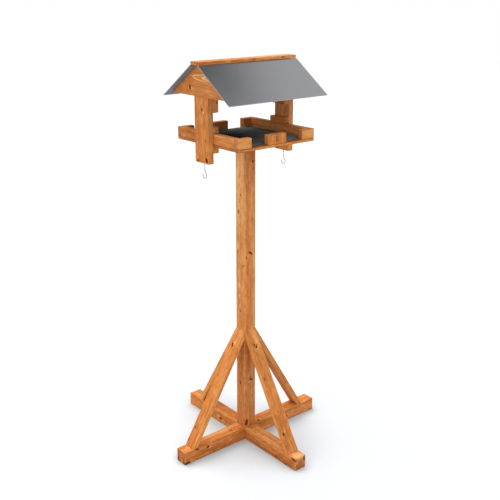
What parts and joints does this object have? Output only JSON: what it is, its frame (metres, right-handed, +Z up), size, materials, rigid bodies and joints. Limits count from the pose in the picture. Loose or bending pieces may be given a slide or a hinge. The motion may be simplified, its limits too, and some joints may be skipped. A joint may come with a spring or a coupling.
{
  "type": "bird table",
  "caption": "Free-standing wooden bird table: braced post on crossed feet, railed tray with a lift-out mat, pitched sheet roof on end planks, and screw hooks for feeders.",
  "frame": {"origin": "on the floor, under the middle of the post and of the foot crossing", "axes": "+Z up; +X along the roof's ridge, towards the gable end that is furthest in the picture; -Y towards the roof slope that the picture shows"},
  "size_m": [0.65, 0.65, 1.45],
  "materials": {
    "stained_wood": "planed softwood with a satin warm orange-brown stain",
    "roof_sheet": "thin sheet with a satin mid-grey coat",
    "mat_rubber": "matt near-black rubber mat",
    "zinc_wire": "bright zinc-plated steel"
  },
  "bodies": {
    "table": {"foot_beam_lower": "stained_wood", "foot_beam_upper": "stained_wood", "post": "stained_wood", "brace_left": "stained_wood", "brace_right": "stained_wood", "brace_front": "stained_wood", "brace_back": "stained_wood", "tray_board": "stained_wood", "rail_left": "stained_wood", "rail_right": "stained_wood", "front_corner_left": "stained_wood", "front_centre": "stained_wood", "front_corner_right": "stained_wood", "back_corner_left": "stained_wood", "back_centre": "stained_wood", "back_corner_right": "stained_wood", "upright_left": "stained_wood", "upright_right": "stained_wood", "under_block_left": "stained_wood", "under_block_right": "stained_wood", "seat_block_left": "stained_wood", "seat_block_right": "stained_wood", "cleat_left": "stained_wood", "cleat_right": "stained_wood", "gable_left": "stained_wood", "gable_right": "stained_wood", "ridge_beam": "stained_wood", "ridge_cap": "stained_wood", "roof_sheet_front": "roof_sheet", "roof_sheet_back": "roof_sheet", "hook_left": "zinc_wire", "hook_right": "zinc_wire", "board_screw_1": "zinc_wire", "board_screw_2": "zinc_wire", "board_screw_3": "zinc_wire", "board_screw_4": "zinc_wire", "post_screw_1": "zinc_wire", "post_screw_2": "zinc_wire"},
    "mat": {"feeding_mat": "mat_rubber"}
  },
  "joints": [
    {"name": "mat_lift", "type": "slide", "parent": "table", "child": "mat", "axis": [0, 0, 1], "range_m": [0, 0.15]}
  ]
}
